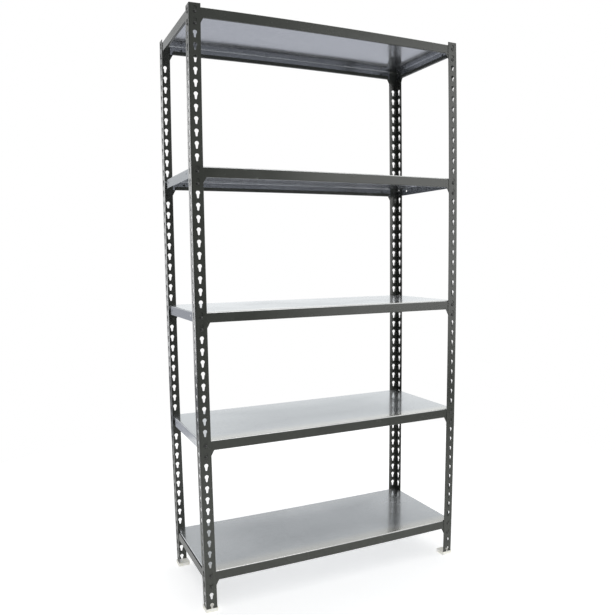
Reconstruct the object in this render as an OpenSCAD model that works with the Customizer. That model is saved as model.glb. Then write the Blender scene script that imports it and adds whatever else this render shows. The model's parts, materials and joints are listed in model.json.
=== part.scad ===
// Boltless steel shelving: four slotted angle posts, five levels of riveted beams, and five
// drop-in folded steel panels on plastic feet.
// Millimetres, Z up.  The origin is on the floor, at the middle of the rack's footprint.
// The front is towards -Y, and levels are counted from the bottom.

/* [Rack] */
// Outside width across the posts
rack_w = 1018; // [600:1:1400]
// Outside depth across the posts
rack_d = 410; // [300:1:700]
// Slots down each post flange
slot_count = 52; // [52:1:60]
// Distance from one slot to the next
slot_pitch = 38.1; // [36:0.1:45]
// Top slot used by each level, from the lowest level to the highest, counting down the post
level_slots = [49, 37, 26, 14, 1]; // [1:1:51]

/* [Posts] */
// Width of each post flange
flange_w = 38; // [34:0.5:50]
// Thickness of the post steel
post_t = 1.5; // [1:0.1:1.8]
// Outside radius of the post's corner bend
post_bend_r = 2.5; // [2:0.1:4]
// Height of the post above its first slot
post_above = 18.3; // [15:0.1:30]
// Height of the last slot above the foot
slot_above_foot = 10.3; // [8:0.1:20]
// Distance of the slot column from the post's outer corner
slot_inset = 19.2; // [17:0.1:24]

/* [Slots] */
// Diameter of a slot's round head
slot_head_d = 13.4; // [12.6:0.1:15]
// Width of the neck where it leaves the head
slot_shoulder_w = 9; // [8.4:0.1:10]
// Diameter of the rounded end of the neck
slot_neck_d = 6.4; // [5.6:0.1:6.8]

/* [Beams] */
// Thickness of the beam steel
beam_t = 1.2; // [0.8:0.1:1.5]
// Height of a beam's face
beam_h = 30.5; // [28:0.5:34]
// Height of a beam's top edge above the middle of its top slot
beam_rise = 6; // [2:0.5:8]
// Depth of the channel along a beam's bottom edge
channel_w = 10; // [8:0.5:14]
// Height of the channel's inner lip
lip_h = 12.5; // [8:0.5:14]
// Distance from the rack's corner to the gusset's upper end
gusset_out = 48; // [46:0.5:60]
// Distance from the rack's corner to the gusset's lower end
gusset_in = 33; // [30:0.5:34]
// Height of the end plate above the middle of its top slot
plate_rise = 10.2; // [10:0.1:12]
// Depth of the end plate below the middle of its top slot
plate_drop = 52.5; // [51:0.5:60]

/* [Rivets] */
// Diameter of a rivet's outer head
rivet_head_d = 12; // [11:0.1:12.4]
// Height of a rivet's domed head
rivet_head_h = 1.9; // [1.2:0.1:2.5]
// Diameter of the shank that hooks into the slot
rivet_shank_d = 7; // [6.8:0.1:7.2]
// Distance of a hooked shank below the middle of its slot
rivet_seat = 7.5; // [7:0.1:8]

/* [Panels] */
// Thickness of the panel sheet
panel_t = 0.8; // [0.6:0.1:1.2]
// Height of a panel's top above the beams
panel_proud = 3; // [2:0.5:5]
// Outside radius of a panel's folded edge
panel_bend_r = 4; // [1.5:0.1:5]
// Diameter of the fixing holes in the folds
fold_hole_d = 8; // [4:0.1:9]
// Distance of the fixing holes from the rack's corner
fold_hole_in = 80; // [65:1:120]
// Diameter of the tie holes at the ends of the short folds
tie_hole_d = 10; // [8:0.1:11]

/* [Feet] */
// Height of a foot
foot_h = 12; // [9:0.5:16]
// Depth of the groove that holds the post
groove_depth = 6; // [4:0.5:7]
// Width of the foot outside the post
foot_rim = 3.5; // [2:0.5:6]
// Radius of a foot's corners
foot_corner_r = 4; // [2:0.5:6]

/* [Hidden] */

$fn = 48;
left = -1;
right = 1;
front = -1;
rear = 1;
paint = [0.27, 0.28, 0.26];
inner_paint = [0.22, 0.23, 0.24];
galvanised = [0.76, 0.78, 0.80];
plastic = [0.93, 0.92, 0.86];

gap = 0.1;          // between a post and the steel that slides on it
seat_gap = 0.05;    // between steel that only rests on steel
through = 1;        // how far a cutter passes the face it cuts

// Post and slots: heights are from the middle of a slot unless they say otherwise.
slot_head_z = 3;                                      // centre of the round head
slot_shoulder_z = -1.5;                               // where the neck leaves the head
slot_neck_z = -11.25;                                 // centre of the rounded lower end
neck_inside = 0.1;                                    // keeps the neck's sides inside its end
post_bottom = foot_h - groove_depth;
post_len = groove_depth + slot_above_foot + (slot_count - 1) * slot_pitch + post_above;

// Beams
beam_out = post_t + gap;                              // rack's face to the beam's face
plate_in = beam_out + beam_t + 0.4;                   // rack's side to the end of a beam
beam_bottom = beam_rise - beam_h;
beam_bend_r = 1.8;
plate_corner = 3;                                     // cut corner of an end plate
plate_shoulder = flange_w - 6;                        // where the end plate's top steps down
rivet_zs = [-rivet_seat, -rivet_seat - slot_pitch];

// Rivets
spigot_d = 5;
spigot_hole_d = spigot_d + 0.06;
tail_d = 8;
tail_h = 0.9;
dome_r = (pow(rivet_head_d / 2, 2) + pow(rivet_head_h, 2)) / (2 * rivet_head_h);

// Panels
panel_top = beam_rise + panel_proud;
fold_bottom = beam_bottom + beam_t + seat_gap;        // a long fold stands in the channel
panel_front_in = beam_out + beam_t + 0.6;             // rack's face to a long fold
panel_side_in = beam_out + beam_t + 2.2;              // rack's side to a short fold
fold_hole_z = panel_top - 15;
tie_hole_z = panel_top - 9;

function slot_z(k) = foot_h + slot_above_foot + (slot_count - k) * slot_pitch;
function level_z(n) = slot_z(level_slots[n - 1]);

// Places a shape drawn for a corner at the origin, with the rack towards +X and +Y.
module at_corner(side, end) {
    translate([side * rack_w / 2, end * rack_d / 2, 0])
        mirror([side > 0 ? 1 : 0, 0, 0])
            mirror([0, end > 0 ? 1 : 0, 0])
                children();
}

// Turns a drawing in X and Z into a plate of thickness t, from y = 0 inwards.
module upright_plate(t) {
    translate([0, t, 0]) rotate([90, 0, 0]) linear_extrude(t) children();
}

// Sweeps a drawing in Y and Z along X.
module along_x(from, to) {
    translate([from, 0, 0]) rotate([90, 0, 90]) linear_extrude(to - from) children();
}

// Sweeps a drawing in X and Z along Y.
module along_y(from, to) {
    translate([0, to, 0]) rotate([90, 0, 0]) linear_extrude(to - from) children();
}

// Strip of a drawing, given by two opposite corners.
module strip(x0, y0, x1, y1) {
    translate([x0, y0]) square([x1 - x0, y1 - y0]);
}

// Quarter of a ring, for a bend; qx and qy choose the quadrant.
module bend(r, t, qx, qy) {
    intersection() {
        difference() {
            circle(r);
            circle(r - t);
        }
        translate([qx < 0 ? -r : 0, qy < 0 ? -r : 0]) square(r);
    }
}

// ---- Posts ----

module keyhole() {
    translate([0, slot_head_z]) circle(d = slot_head_d);
    translate([0, slot_neck_z]) circle(d = slot_neck_d);
    polygon([
        [-slot_shoulder_w / 2, slot_shoulder_z],
        [-slot_neck_d / 2 + neck_inside, slot_neck_z],
        [slot_neck_d / 2 - neck_inside, slot_neck_z],
        [slot_shoulder_w / 2, slot_shoulder_z]
    ]);
}

// Cutters for the whole column of slots in the flange that lies along X.
module slot_column() {
    for (k = [1 : slot_count])
        translate([slot_inset, -through, slot_z(k)])
            upright_plate(post_t + 2 * through) keyhole();
}

module angle_section() {
    translate([post_bend_r, post_bend_r]) bend(post_bend_r, post_t, -1, -1);
    strip(post_bend_r, 0, flange_w, post_t);
    strip(0, post_bend_r, post_t, flange_w);
}

module post(side, end) {
    color(paint) at_corner(side, end)
        difference() {
            translate([0, 0, post_bottom]) linear_extrude(post_len) angle_section();
            slot_column();
            mirror([1, -1, 0]) slot_column();
        }
}

// ---- Feet ----

module rounded_square(w, r) {
    translate([r, 0]) square([w - 2 * r, w]);
    translate([0, r]) square([w, w - 2 * r]);
    for (x = [r, w - r], y = [r, w - r])
        translate([x, y]) circle(r);
}

module foot(side, end) {
    width = flange_w + 2 * foot_rim;
    groove_t = post_t + 2 * seat_gap;
    groove_l = flange_w + 2 * seat_gap;
    groove_corner = post_bend_r + seat_gap;
    color(plastic) at_corner(side, end)
        difference() {
            translate([-foot_rim, -foot_rim, 0]) linear_extrude(foot_h)
                rounded_square(width, foot_corner_r);
            translate([-seat_gap, -seat_gap, post_bottom]) cube([groove_l, groove_t, foot_h]);
            translate([-seat_gap, -seat_gap, post_bottom]) cube([groove_t, groove_l, foot_h]);
            translate([-seat_gap, -seat_gap, post_bottom])
                cube([groove_corner, groove_corner, foot_h]);
        }
}

// ---- Beams ----

// Face of a beam with an end plate and gusset at each end, in X and Z.
module beam_outline(length) {
    half = [
        [gusset_out, beam_bottom + beam_bend_r],
        [gusset_out, beam_bottom],
        [gusset_in, -plate_drop],
        [plate_in + plate_corner, -plate_drop],
        [plate_in, -plate_drop + plate_corner],
        [plate_in, plate_rise - plate_corner],
        [plate_in + plate_corner, plate_rise],
        [plate_shoulder, plate_rise],
        [plate_shoulder + plate_rise - beam_rise, beam_rise]
    ];
    last = len(half) - 1;
    polygon(concat(half, [for (i = [last : -1 : 0]) [length - half[i][0], half[i][1]]]));
}

// Channel along the bottom of a beam, in Y and Z.
module channel_section() {
    r = beam_bend_r;
    z = beam_bottom;
    translate([r, z + r]) bend(r, beam_t, -1, -1);
    strip(r, z, channel_w - r, z + beam_t);
    translate([channel_w - r, z + r]) bend(r, beam_t, 1, -1);
    strip(channel_w - beam_t, z + r, channel_w, z + lip_h);
}

// A beam for a rack side of this length, with its face on y = 0 and its end at x = 0.
module beam(length) {
    difference() {
        union() {
            upright_plate(beam_t) beam_outline(length);
            along_x(gusset_out, length - gusset_out) channel_section();
        }
        for (x = [slot_inset, length - slot_inset], z = rivet_zs)
            translate([x, -through, z]) rotate([-90, 0, 0])
                cylinder(h = beam_t + 2 * through, d = spigot_hole_d);
    }
}

module long_beam(n, end) {
    color(paint)
        mirror([0, end > 0 ? 1 : 0, 0])
            translate([-rack_w / 2, -rack_d / 2 + beam_out, level_z(n)]) beam(rack_w);
}

module short_beam(n, side) {
    color(paint)
        mirror([side > 0 ? 1 : 0, 0, 0])
            translate([-rack_w / 2 + beam_out, rack_d / 2, level_z(n)])
                rotate([0, 0, -90]) beam(rack_d);
}

// ---- Rivets ----

// Revolved profile: dome outside the post, shank through the slot, spigot and tail in the plate.
module rivet() {
    shank_end = beam_out - seat_gap / 2;
    tail_start = beam_out + beam_t + seat_gap / 2;
    rotate([90, 0, 0]) rotate_extrude() {
        intersection() {
            translate([0, gap + rivet_head_h - dome_r]) circle(dome_r, $fn = 96);
            strip(0, gap, rivet_head_d / 2, gap + rivet_head_h);
        }
        strip(0, -shank_end, rivet_shank_d / 2, gap);
        strip(0, -tail_start, spigot_d / 2, -shank_end);
        strip(0, -tail_start - tail_h, tail_d / 2, -tail_start);
    }
}

// The rivets at one post of a level: two in the front or rear flange, and two in the side
// flange where the level has side beams.
module corner_rivets(n, side, end, with_sides) {
    at_corner(side, end) translate([0, 0, level_z(n)])
        for (z = rivet_zs) {
            translate([slot_inset, 0, z]) rivet();
            if (with_sides)
                translate([0, slot_inset, z]) rotate([0, 0, -90]) rivet();
        }
}

module level_rivets(n, with_sides) {
    color(inner_paint)
        for (side = [left, right], end = [front, rear])
            corner_rivets(n, side, end, with_sides);
}

// ---- Panels ----

// Bend and fold of one edge in a plane across that edge: the fold's outer face is at x = 0.
module folded_edge() {
    r = panel_bend_r;
    translate([r, panel_top - r]) bend(r, panel_t, -1, 1);
    strip(0, fold_bottom, panel_t, panel_top - r);
}

// Panel across its short folds, in X and Z.
module panel_section() {
    half = rack_w / 2 - panel_side_in;
    for (m = [0, 1])
        mirror([m, 0]) translate([-half, 0]) folded_edge();
    strip(-half + panel_bend_r, panel_top - panel_t, half - panel_bend_r, panel_top);
}

module panel(n) {
    half_w = rack_w / 2;
    half_d = rack_d / 2;
    plate_half_d = half_d - panel_front_in - panel_bend_r;
    color(galvanised) translate([0, 0, level_z(n)])
        difference() {
            union() {
                along_y(-plate_half_d, plate_half_d) panel_section();
                for (m = [0, 1])
                    mirror([0, m, 0]) translate([0, -half_d + panel_front_in, 0])
                        along_x(flange_w - half_w, half_w - flange_w) folded_edge();
            }
            for (x = [fold_hole_in - half_w, half_w - fold_hole_in])
                translate([x, half_d, fold_hole_z]) rotate([90, 0, 0])
                    cylinder(h = rack_d, d = fold_hole_d);
            for (y = [fold_hole_in - half_d, half_d - fold_hole_in])
                translate([-half_w, y, fold_hole_z]) rotate([0, 90, 0])
                    cylinder(h = rack_w, d = fold_hole_d);
            for (y = [slot_inset - half_d, half_d - slot_inset])
                translate([-half_w, y, tie_hole_z]) rotate([0, 90, 0])
                    cylinder(h = rack_w, d = tie_hole_d);
        }
}

post(left, front);  // post_front_left
post(right, front);  // post_front_right
post(left, rear);  // post_rear_left
post(right, rear);  // post_rear_right
foot(left, front);  // foot_front_left
foot(right, front);  // foot_front_right
foot(left, rear);  // foot_rear_left
foot(right, rear);  // foot_rear_right
long_beam(1, front);  // front_beam_1
long_beam(2, front);  // front_beam_2
long_beam(3, front);  // front_beam_3
long_beam(4, front);  // front_beam_4
long_beam(5, front);  // front_beam_5
long_beam(1, rear);  // rear_beam_1
long_beam(2, rear);  // rear_beam_2
long_beam(3, rear);  // rear_beam_3
long_beam(4, rear);  // rear_beam_4
long_beam(5, rear);  // rear_beam_5
short_beam(1, left);  // left_beam_1
short_beam(1, right);  // right_beam_1
short_beam(5, left);  // left_beam_5
short_beam(5, right);  // right_beam_5
level_rivets(1, true);  // rivets_1
level_rivets(2, false);  // rivets_2
level_rivets(3, false);  // rivets_3
level_rivets(4, false);  // rivets_4
level_rivets(5, true);  // rivets_5
panel(1);  // shelf_panel_1
panel(2);  // shelf_panel_2
panel(3);  // shelf_panel_3
panel(4);  // shelf_panel_4
panel(5);  // shelf_panel_5
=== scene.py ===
"""Boltless steel shelving: finishes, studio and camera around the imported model.

Everything is in metres, Z up, in the model's own frame: the origin is on the floor at the
middle of the footprint, and the front of the rack is towards -Y.
"""
import json
import math

import bpy
from mathutils import Matrix, Vector

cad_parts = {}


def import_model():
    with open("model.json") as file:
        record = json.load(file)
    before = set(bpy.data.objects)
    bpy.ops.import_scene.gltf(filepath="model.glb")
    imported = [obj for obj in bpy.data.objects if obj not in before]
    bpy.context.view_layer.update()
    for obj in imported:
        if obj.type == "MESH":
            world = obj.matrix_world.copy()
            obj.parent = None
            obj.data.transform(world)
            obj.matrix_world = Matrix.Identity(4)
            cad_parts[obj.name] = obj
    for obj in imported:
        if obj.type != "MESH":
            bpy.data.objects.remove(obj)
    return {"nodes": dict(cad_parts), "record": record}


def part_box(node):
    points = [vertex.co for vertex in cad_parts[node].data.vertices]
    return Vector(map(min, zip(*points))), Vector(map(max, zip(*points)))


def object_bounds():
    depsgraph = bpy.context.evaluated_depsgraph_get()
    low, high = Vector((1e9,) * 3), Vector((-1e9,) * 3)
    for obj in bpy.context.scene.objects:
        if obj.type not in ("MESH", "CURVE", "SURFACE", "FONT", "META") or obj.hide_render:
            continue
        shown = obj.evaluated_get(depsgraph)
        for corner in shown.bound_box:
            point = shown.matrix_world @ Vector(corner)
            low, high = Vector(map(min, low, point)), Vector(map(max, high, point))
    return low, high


MM = 0.001

# Camera: where the lens stands, how it is turned, and the lens itself.
CAMERA_PLACE = (-1.0413, -2.1691, 1.1928)
CAMERA_YAW = 24.333        # degrees from +Y towards +X
CAMERA_PITCH = -6.478      # degrees above the horizon
CAMERA_ROLL = -0.7840      # degrees
CAMERA_SENSOR = 36         # mm
CAMERA_LENS = 37.59        # mm
CAMERA_SHIFT = (0.0146, 0.0361)    # shares of the picture's width
# Barrel distortion: a ray's angle in radians for each power of its distance from the lens
# axis in mm on the sensor.
LENS_CURVE = (0.0, -2.6577e-2, -9.595e-6, 5.491e-6, -7.064e-8)

# Studio light: how bright the surroundings are at each height in degrees above the horizon,
# as a reflection or as light falling on the rack: behind it on the right, behind it on the
# left, and in front of it.  The camera itself sees plain white behind the rack.
LIGHT_BEHIND = ((-90, 0.40), (-30, 0.44), (-10, 0.64), (4, 1.18), (15, 0.76), (28, 0.32),
                (45, 0.7), (90, 1.8))
LIGHT_LEFT = ((-90, 0.6), (-28, 0.85), (-16, 0.48), (-4, 0.44), (8, 0.60), (20, 1.15),
              (45, 1.1), (90, 1.8))
LIGHT_IN_FRONT = ((-90, 0.25), (-14, 0.22), (-3, 0.06), (10, 0.12), (30, 0.55), (60, 1.3),
                  (90, 1.8))
FAR_LEFT_SHARE = 0.38      # what is left of the light from far round on the left
LIGHT_TINT = (0.955, 0.980, 0.985)
LOW_LIGHT_TINT = (0.925, 0.945, 1.03)    # below the horizon
BACKDROP = (1.0, 1.0, 1.0)
FLOOR_RADIUS = 2.2
FLOOR_SIDES = 96
FLOOR_GLOW = 0.32          # light that the floor paper adds of its own, as if lit from below
FLOOR_WHITENING = 0.24     # more of it, for the camera only
FOOT_PAINTED_GLOW = 0.22           # painted glow: emission that stands in for light the milky plastic passes on from the floor


def new_material(name):
    """An empty node material and its node tree."""
    material = bpy.data.materials.new(name)
    material.use_nodes = True
    material.node_tree.nodes.clear()
    return material, material.node_tree


class Graph:
    """Short ways of adding and joining shader nodes."""

    def __init__(self, tree):
        self.tree = tree

    def add(self, kind, **settings):
        node = self.tree.nodes.new("ShaderNode" + kind)
        for name, value in settings.items():
            setattr(node, name, value)
        return node

    def join(self, source, target):
        self.tree.links.new(source, target)

    def put(self, socket, value):
        """Sets a socket to a number or colour, or joins it to another node's output."""
        if isinstance(value, bpy.types.NodeSocket):
            self.join(value, socket)
        else:
            socket.default_value = value

    def math(self, operation, a, b=0.0, clamp=False):
        node = self.add("Math", operation=operation, use_clamp=clamp)
        self.put(node.inputs[0], a)
        self.put(node.inputs[1], b)
        return node.outputs[0]

    def remap(self, value, low, high, to_low=0.0, to_high=1.0):
        """value between low and high, carried over to to_low and to_high, and kept there."""
        node = self.add("MapRange", interpolation_type="SMOOTHSTEP")
        self.put(node.inputs["Value"], value)
        self.put(node.inputs["From Min"], low)
        self.put(node.inputs["From Max"], high)
        self.put(node.inputs["To Min"], to_low)
        self.put(node.inputs["To Max"], to_high)
        return node.outputs["Result"]

    def mix(self, share, a, b):
        node = self.add("Mix", data_type="RGBA")
        self.put(node.inputs["Factor"], share)
        self.put(node.inputs["A"], a)
        self.put(node.inputs["B"], b)
        return node.outputs["Result"]

    def place(self, stretch=(1, 1, 1)):
        """Object coordinates in metres, stretched along the axes."""
        coords = self.add("TexCoord")
        mapping = self.add("Mapping")
        mapping.inputs["Scale"].default_value = stretch
        self.join(coords.outputs["Object"], mapping.inputs["Vector"])
        return mapping.outputs["Vector"]

    def parts(self, vector):
        """The X, Y and Z of a vector."""
        node = self.add("SeparateXYZ")
        self.join(vector, node.inputs["Vector"])
        return node.outputs["X"], node.outputs["Y"], node.outputs["Z"]

    def facing_up(self):
        """1 on level tops, 0 on upright faces and undersides."""
        height = self.parts(self.add("NewGeometry").outputs["Normal"])[2]
        return self.math("MAXIMUM", height, 0.0)

    def noise(self, scale, detail=2.0, roughness=0.5, where=None):
        node = self.add("TexNoise")
        self.put(node.inputs["Scale"], scale)
        self.put(node.inputs["Detail"], detail)
        self.put(node.inputs["Roughness"], roughness)
        self.join(where or self.place(), node.inputs["Vector"])
        return node.outputs["Fac"]

    def bump(self, height, depth, normal=None):
        """Normals that follow a height between 0 and 1, depth metres deep."""
        node = self.add("Bump")
        self.put(node.inputs["Strength"], 1.0)
        self.put(node.inputs["Distance"], depth)
        self.put(node.inputs["Height"], height)
        if normal is not None:
            self.join(normal, node.inputs["Normal"])
        return node.outputs["Normal"]

    def soft_edges(self, radius):
        """Normals rounded over every edge."""
        bevel = self.add("Bevel", samples=6)
        bevel.inputs["Radius"].default_value = radius
        return bevel.outputs["Normal"]

    def edge_share(self, rounded):
        """0 on flat faces, rising over the edges that these rounded normals turn around."""
        dot = self.add("VectorMath", operation="DOT_PRODUCT")
        self.join(rounded, dot.inputs[0])
        self.join(self.add("NewGeometry").outputs["Normal"], dot.inputs[1])
        return self.math("SUBTRACT", 1.0, dot.outputs["Value"], clamp=True)

    def principled(self, **values):
        """A Principled surface; an underscore in a value's name stands for a space."""
        shader = self.add("BsdfPrincipled")
        for name, value in values.items():
            self.put(shader.inputs[name.replace("_", " ")], value)
        return shader.outputs["BSDF"]

    def background(self, colour, strength):
        node = self.add("Background")
        self.put(node.inputs["Color"], colour)
        self.put(node.inputs["Strength"], strength)
        return node.outputs["Background"]

    def mix_shaders(self, share, a, b):
        node = self.add("MixShader")
        self.put(node.inputs["Fac"], share)
        self.join(a, node.inputs[1])
        self.join(b, node.inputs[2])
        return node.outputs["Shader"]

    def output(self, shader, kind="Material"):
        """Makes shader the surface of the material, or of the world when kind is World."""
        self.join(shader, self.add("Output" + kind).inputs["Surface"])

    def surface(self, **values):
        self.output(self.principled(**values))


def rgba(colour, gain=1.0):
    """A linear colour times gain, with alpha 1."""
    return (colour[0] * gain, colour[1] * gain, colour[2] * gain, 1.0)


# ---- Finishes ----

GRAPHITE = (0.058, 0.062, 0.053)
DARK_GRAPHITE = (0.040, 0.041, 0.038)
# Edge colour: partly a thinner, worn coat, partly a painted edge highlight.
WORN_EDGE_AND_HIGHLIGHT = (0.21, 0.21, 0.20)
# Zinc colours: the first two vary at random; on the tops the lighter one is also a painted
# highlight towards the folds, and the warm one a painted warm reflection along the front.
DULL_ZINC = (0.59, 0.61, 0.64)
BRIGHT_ZINC = (0.885, 0.90, 0.925)
WARM_FRONT_REFLECTION = (0.97, 0.95, 0.90)


def powder_coat(name, colour=GRAPHITE, gloss=0.25):
    """Semi-gloss powder coat: orange peel, slight cloudiness, and lighter edges, partly a
    thinner coat and partly a painted edge highlight.
    """
    material, tree = new_material(name)
    g = Graph(tree)
    cloud = g.noise(9.0, detail=4.0)
    handling = g.noise(1.0, detail=5.0, roughness=0.6, where=g.place((45, 45, 45)))
    body = g.mix(g.remap(cloud, 0.3, 0.7), rgba(colour, 0.93), rgba(colour, 1.08))
    normal = g.soft_edges(0.5 * MM)
    # Lighter colour over every edge: partly a thinner coat, partly a painted edge highlight.
    thin_coat_and_highlight = g.remap(g.edge_share(normal), 0.02, 0.30, 0.0, 0.6)
    coat = g.mix(thin_coat_and_highlight, body, rgba(WORN_EDGE_AND_HIGHLIGHT))
    scuff = g.remap(handling, 0.60, 0.85, 0.0, 1.0)
    rough = g.math("ADD", g.remap(cloud, 0.3, 0.7, gloss - 0.03, gloss + 0.03),
                   g.math("MULTIPLY", scuff, 0.06))
    peel = g.noise(520.0, detail=1.5)
    broad = g.noise(60.0, detail=1.0)
    normal = g.bump(broad, 0.04 * MM, normal)
    normal = g.bump(peel, 0.012 * MM, normal)
    g.surface(Base_Color=coat, Roughness=rough, IOR=1.52, Normal=normal)
    return material


def spangle(g):
    """A value between 0 and 1 for each zinc crystal."""
    crystals = g.add("TexVoronoi", feature="F1")
    crystals.inputs["Scale"].default_value = 90.0
    g.join(g.place(), crystals.inputs["Vector"])
    colour = g.add("SeparateColor")
    g.join(crystals.outputs["Color"], colour.inputs["Color"])
    return colour.outputs["Red"]


def zinc_colour(g, crystal, cloud, half_size):
    """Zinc that varies with the crystals and the clouds, and on the top of a sheet of this half
    size carries a painted highlight towards the folds and a painted warm reflection along the
    front."""
    across, along, _ = g.parts(g.place((1 / half_size[0], 1 / half_size[1], 1)))
    from_middle = g.math("MAXIMUM", g.math("ABSOLUTE", across), g.math("ABSOLUTE", along))
    top = g.facing_up()
    # Painted highlight: the tops lighter towards the folds, where the shelf above shades them
    # less.
    rim = g.math("MULTIPLY", g.remap(from_middle, 0.25, 1.0), top)
    # Painted reflection: a warm band along the front edge of the tops, where the bend catches
    # the warm front light.
    front = g.math("MULTIPLY", g.remap(along, -1.0, -0.66, 0.85, 0.0), top)
    tone_and_painted_rim = g.math("ADD", g.math("MULTIPLY", crystal, 0.12), g.math("MULTIPLY", cloud, 0.38))
    tone_and_painted_rim = g.math("ADD", tone_and_painted_rim, g.math("MULTIPLY", rim, 0.5))
    return g.mix(front, g.mix(tone_and_painted_rim, rgba(DULL_ZINC), rgba(BRIGHT_ZINC)), rgba(WARM_FRONT_REFLECTION))


def sheet_normal(g):
    """Softened edges, broad gentle waves, and fine rolling marks along the sheet."""
    waves = g.noise(3.2, detail=1.0, where=g.place((0.7, 1.3, 1.0)))
    rolling = g.noise(1.0, detail=3.0, where=g.place((4, 420, 420)))
    normal = g.bump(waves, 1.2 * MM, g.soft_edges(0.4 * MM))
    return g.bump(rolling, 0.004 * MM, normal)


def galvanised(name, half_size):
    """Bright galvanised sheet of this half size: a soft mirror under a dull bloom."""
    material, tree = new_material(name)
    g = Graph(tree)
    crystal = spangle(g)
    cloud = g.noise(5.0, detail=4.0)
    zinc = {"Base_Color": zinc_colour(g, crystal, cloud, half_size), "Metallic": 1.0,
            "Normal": sheet_normal(g)}
    mirror = g.principled(Roughness=g.remap(cloud, 0.3, 0.7, 0.12, 0.18), **zinc)
    bloom = g.principled(Roughness=g.remap(crystal, 0.0, 1.0, 0.36, 0.48), **zinc)
    g.output(g.mix_shaders(g.remap(cloud, 0.25, 0.75, 0.16, 0.26), mirror, bloom))
    return material


def foot_plastic(name):
    """Natural polyethylene: milky, a little translucent, with a satin moulded skin and a
    painted glow for the light it passes on.
    """
    material, tree = new_material(name)
    g = Graph(tree)
    cloud = g.noise(70.0, detail=3.0)
    colour = g.mix(g.remap(cloud, 0.3, 0.7), rgba((0.80, 0.79, 0.73)), rgba((0.90, 0.89, 0.83)))
    skin = g.noise(900.0, detail=2.0)
    normal = g.bump(skin, 0.02 * MM, g.soft_edges(0.8 * MM))
    # The emission is a painted glow, standing in for light passed on through the plastic from
    # the floor.
    g.surface(Base_Color=colour, Roughness=g.remap(cloud, 0.3, 0.7, 0.38, 0.5), IOR=1.51,
              Subsurface_Weight=0.35, Subsurface_Radius=(0.004, 0.0038, 0.003),
              Subsurface_Scale=1.0, Normal=normal,
              Emission_Color=colour, Emission_Strength=FOOT_PAINTED_GLOW)
    return material


def floor_paper(name):
    """Matt white studio paper."""
    material, tree = new_material(name)
    g = Graph(tree)
    fibre = g.noise(240.0, detail=5.0)
    colour = g.mix(fibre, rgba((0.90, 0.90, 0.90)), rgba((0.95, 0.95, 0.95)))
    seen = g.add("LightPath").outputs["Is Camera Ray"]
    glow = g.math("ADD", FLOOR_GLOW, g.math("MULTIPLY", seen, FLOOR_WHITENING))
    g.surface(Base_Color=colour, Roughness=0.9, Normal=g.bump(fibre, 0.05 * MM),
              Emission_Color=colour, Emission_Strength=glow)
    return material


def finish_nodes(frame):
    """Gives every CAD node the finish of its material slot."""
    panel_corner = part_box("shelf_panel_1")[1]
    finishes = {
        "post_paint": powder_coat("post_coat"),
        "beam_paint": powder_coat("beam_coat"),
        "rivet_paint": powder_coat("rivet_coat", colour=DARK_GRAPHITE, gloss=0.30),
        "galvanised_sheet": galvanised("galvanised_sheet_skin", panel_corner.xy),
        "foot_plastic": foot_plastic("foot_skin"),
    }
    slot_of = {part["node"]: part["material_slot"] for part in frame["record"]["subparts"]}
    for name, obj in frame["nodes"].items():
        for slot in obj.material_slots:
            slot.material = finishes[slot_of[name]]


# ---- Studio ----

def light_by_height(g, height, levels):
    """A light for each height, which runs from 0 straight down to 1 straight up; levels gives
    its strength at rising heights in degrees."""
    ramp = g.add("ValToRGB")
    ramp.color_ramp.interpolation = "B_SPLINE"
    stops = ramp.color_ramp.elements
    while len(stops) < len(levels):
        stops.new(0.5)
    for stop, (degrees, level) in zip(stops, levels):
        stop.position = (degrees + 90) / 180
        stop.color = rgba(LOW_LIGHT_TINT if degrees < 0 else LIGHT_TINT, level)
    g.join(height, ramp.inputs["Fac"])
    return ramp.outputs["Color"]


def studio_world():
    """Surroundings that are bright behind the rack, dim in front, and white to the camera."""
    world = bpy.data.worlds.new("studio")
    world.use_nodes = True
    tree = world.node_tree
    tree.nodes.clear()
    g = Graph(tree)
    coords = g.add("TexCoord")
    right, back, up = g.parts(coords.outputs["Generated"])
    height = g.math("ADD", g.math("DIVIDE", g.math("ARCSINE", up), math.pi), 0.5)
    behind = g.mix(g.remap(right, -0.18, 0.12),
                   light_by_height(g, height, LIGHT_LEFT),
                   light_by_height(g, height, LIGHT_BEHIND))
    around = g.mix(g.remap(back, -0.25, 0.75),
                   light_by_height(g, height, LIGHT_IN_FRONT), behind)
    light = g.background(around, g.remap(right, -0.52, -0.34, FAR_LEFT_SHARE, 1.0))
    seen = g.add("LightPath").outputs["Is Camera Ray"]
    g.output(g.mix_shaders(seen, light, g.background(rgba(BACKDROP), 1.0)), "World")
    bpy.context.scene.world = world


def softbox(name, place, target, size, power, lit):
    """An area light of this width and height in metres and power in watts, standing at place
    and facing target, that lights only the objects in lit."""
    light = bpy.data.lights.new(name, "AREA")
    light.shape = "RECTANGLE"
    light.size, light.size_y = size
    light.energy = power
    obj = bpy.data.objects.new(name, light)
    obj.location = place
    obj.rotation_euler = (Vector(target) - Vector(place)).to_track_quat("-Z", "Y").to_euler()
    obj.visible_camera = False
    bpy.context.scene.collection.objects.link(obj)
    receivers = bpy.data.collections.new(name + "_receivers")
    for receiver in lit:
        receivers.objects.link(receiver)
    obj.light_linking.receiver_collection = receivers


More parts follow.
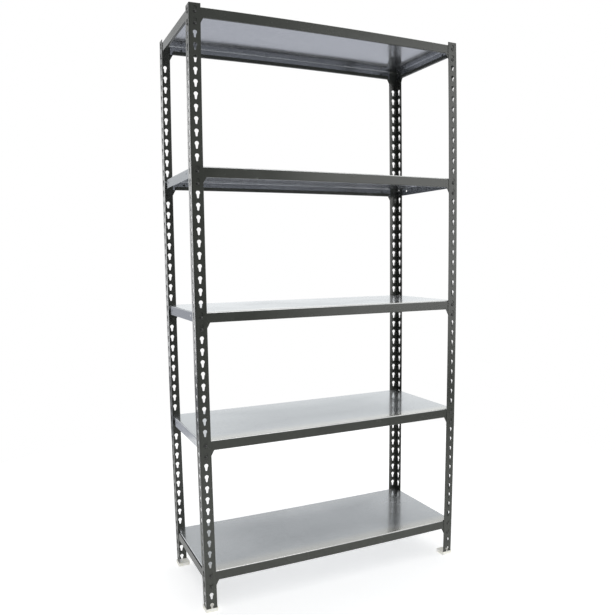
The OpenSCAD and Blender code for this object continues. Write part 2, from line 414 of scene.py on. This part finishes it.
def studio_floor():
    """A round sheet of pale paper under the rack."""
    mesh = bpy.data.meshes.new("floor")
    turns = [i * math.tau / FLOOR_SIDES for i in range(FLOOR_SIDES)]
    rim = [(FLOOR_RADIUS * math.cos(turn), FLOOR_RADIUS * math.sin(turn), 0) for turn in turns]
    mesh.from_pydata(rim, [], [list(range(FLOOR_SIDES))])
    mesh.materials.append(floor_paper("floor_paper"))
    floor = bpy.data.objects.new("floor", mesh)
    bpy.context.scene.collection.objects.link(floor)


def studio_lights(frame, middle):
    """A broad box in front on the right and a tall one behind on the left, both kept off the
    mirror-like sheet, and a strip above the front that only the sheet catches."""
    sheet = [obj for name, obj in frame["nodes"].items() if name.startswith("shelf_panel")]
    dull = [obj for obj in frame["nodes"].values() if obj not in sheet]
    softbox("front_right_box", (2.8, -3.4, 1.8), middle, size=(2.8, 3.0), power=58, lit=dull)
    softbox("back_left_box", (-1.7, 4.2, 1.5), middle, size=(2.2, 3.0), power=29, lit=dull)
    softbox("front_strip", (0.2, -2.0, 3.4), middle, size=(2.6, 0.9), power=9, lit=sheet)


def camera():
    """A lens with mild barrel distortion, in front of the rack on the left."""
    data = bpy.data.cameras.new("camera")
    data.sensor_width = data.sensor_height = CAMERA_SENSOR
    data.lens = CAMERA_LENS
    data.type = "PANO"
    data.panorama_type = "FISHEYE_LENS_POLYNOMIAL"
    data.fisheye_fov = math.pi
    for power, value in enumerate(LENS_CURVE):
        setattr(data, f"fisheye_polynomial_k{power}", value)
    data.shift_x, data.shift_y = CAMERA_SHIFT
    obj = bpy.data.objects.new("camera", data)
    turn = (Matrix.Rotation(math.radians(-CAMERA_YAW), 4, "Z")
            @ Matrix.Rotation(math.radians(90 + CAMERA_PITCH), 4, "X")
            @ Matrix.Rotation(math.radians(CAMERA_ROLL), 4, "Z"))
    obj.matrix_world = Matrix.Translation(CAMERA_PLACE) @ turn
    bpy.context.scene.collection.objects.link(obj)
    bpy.context.scene.camera = obj


def colour_view():
    """Plain colours, so that the white backdrop stays white."""
    view = bpy.context.scene.view_settings
    view.view_transform = "Standard"
    view.look = "None"


def as_list(box):
    """The two corners of a box as plain lists."""
    return [list(corner) for corner in box]


def main():
    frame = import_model()
    cad_box = as_list(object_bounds())
    middle = (Vector(cad_box[0]) + Vector(cad_box[1])) / 2
    finish_nodes(frame)
    studio_world()
    studio_floor()
    studio_lights(frame, middle)
    camera()
    colour_view()


main()
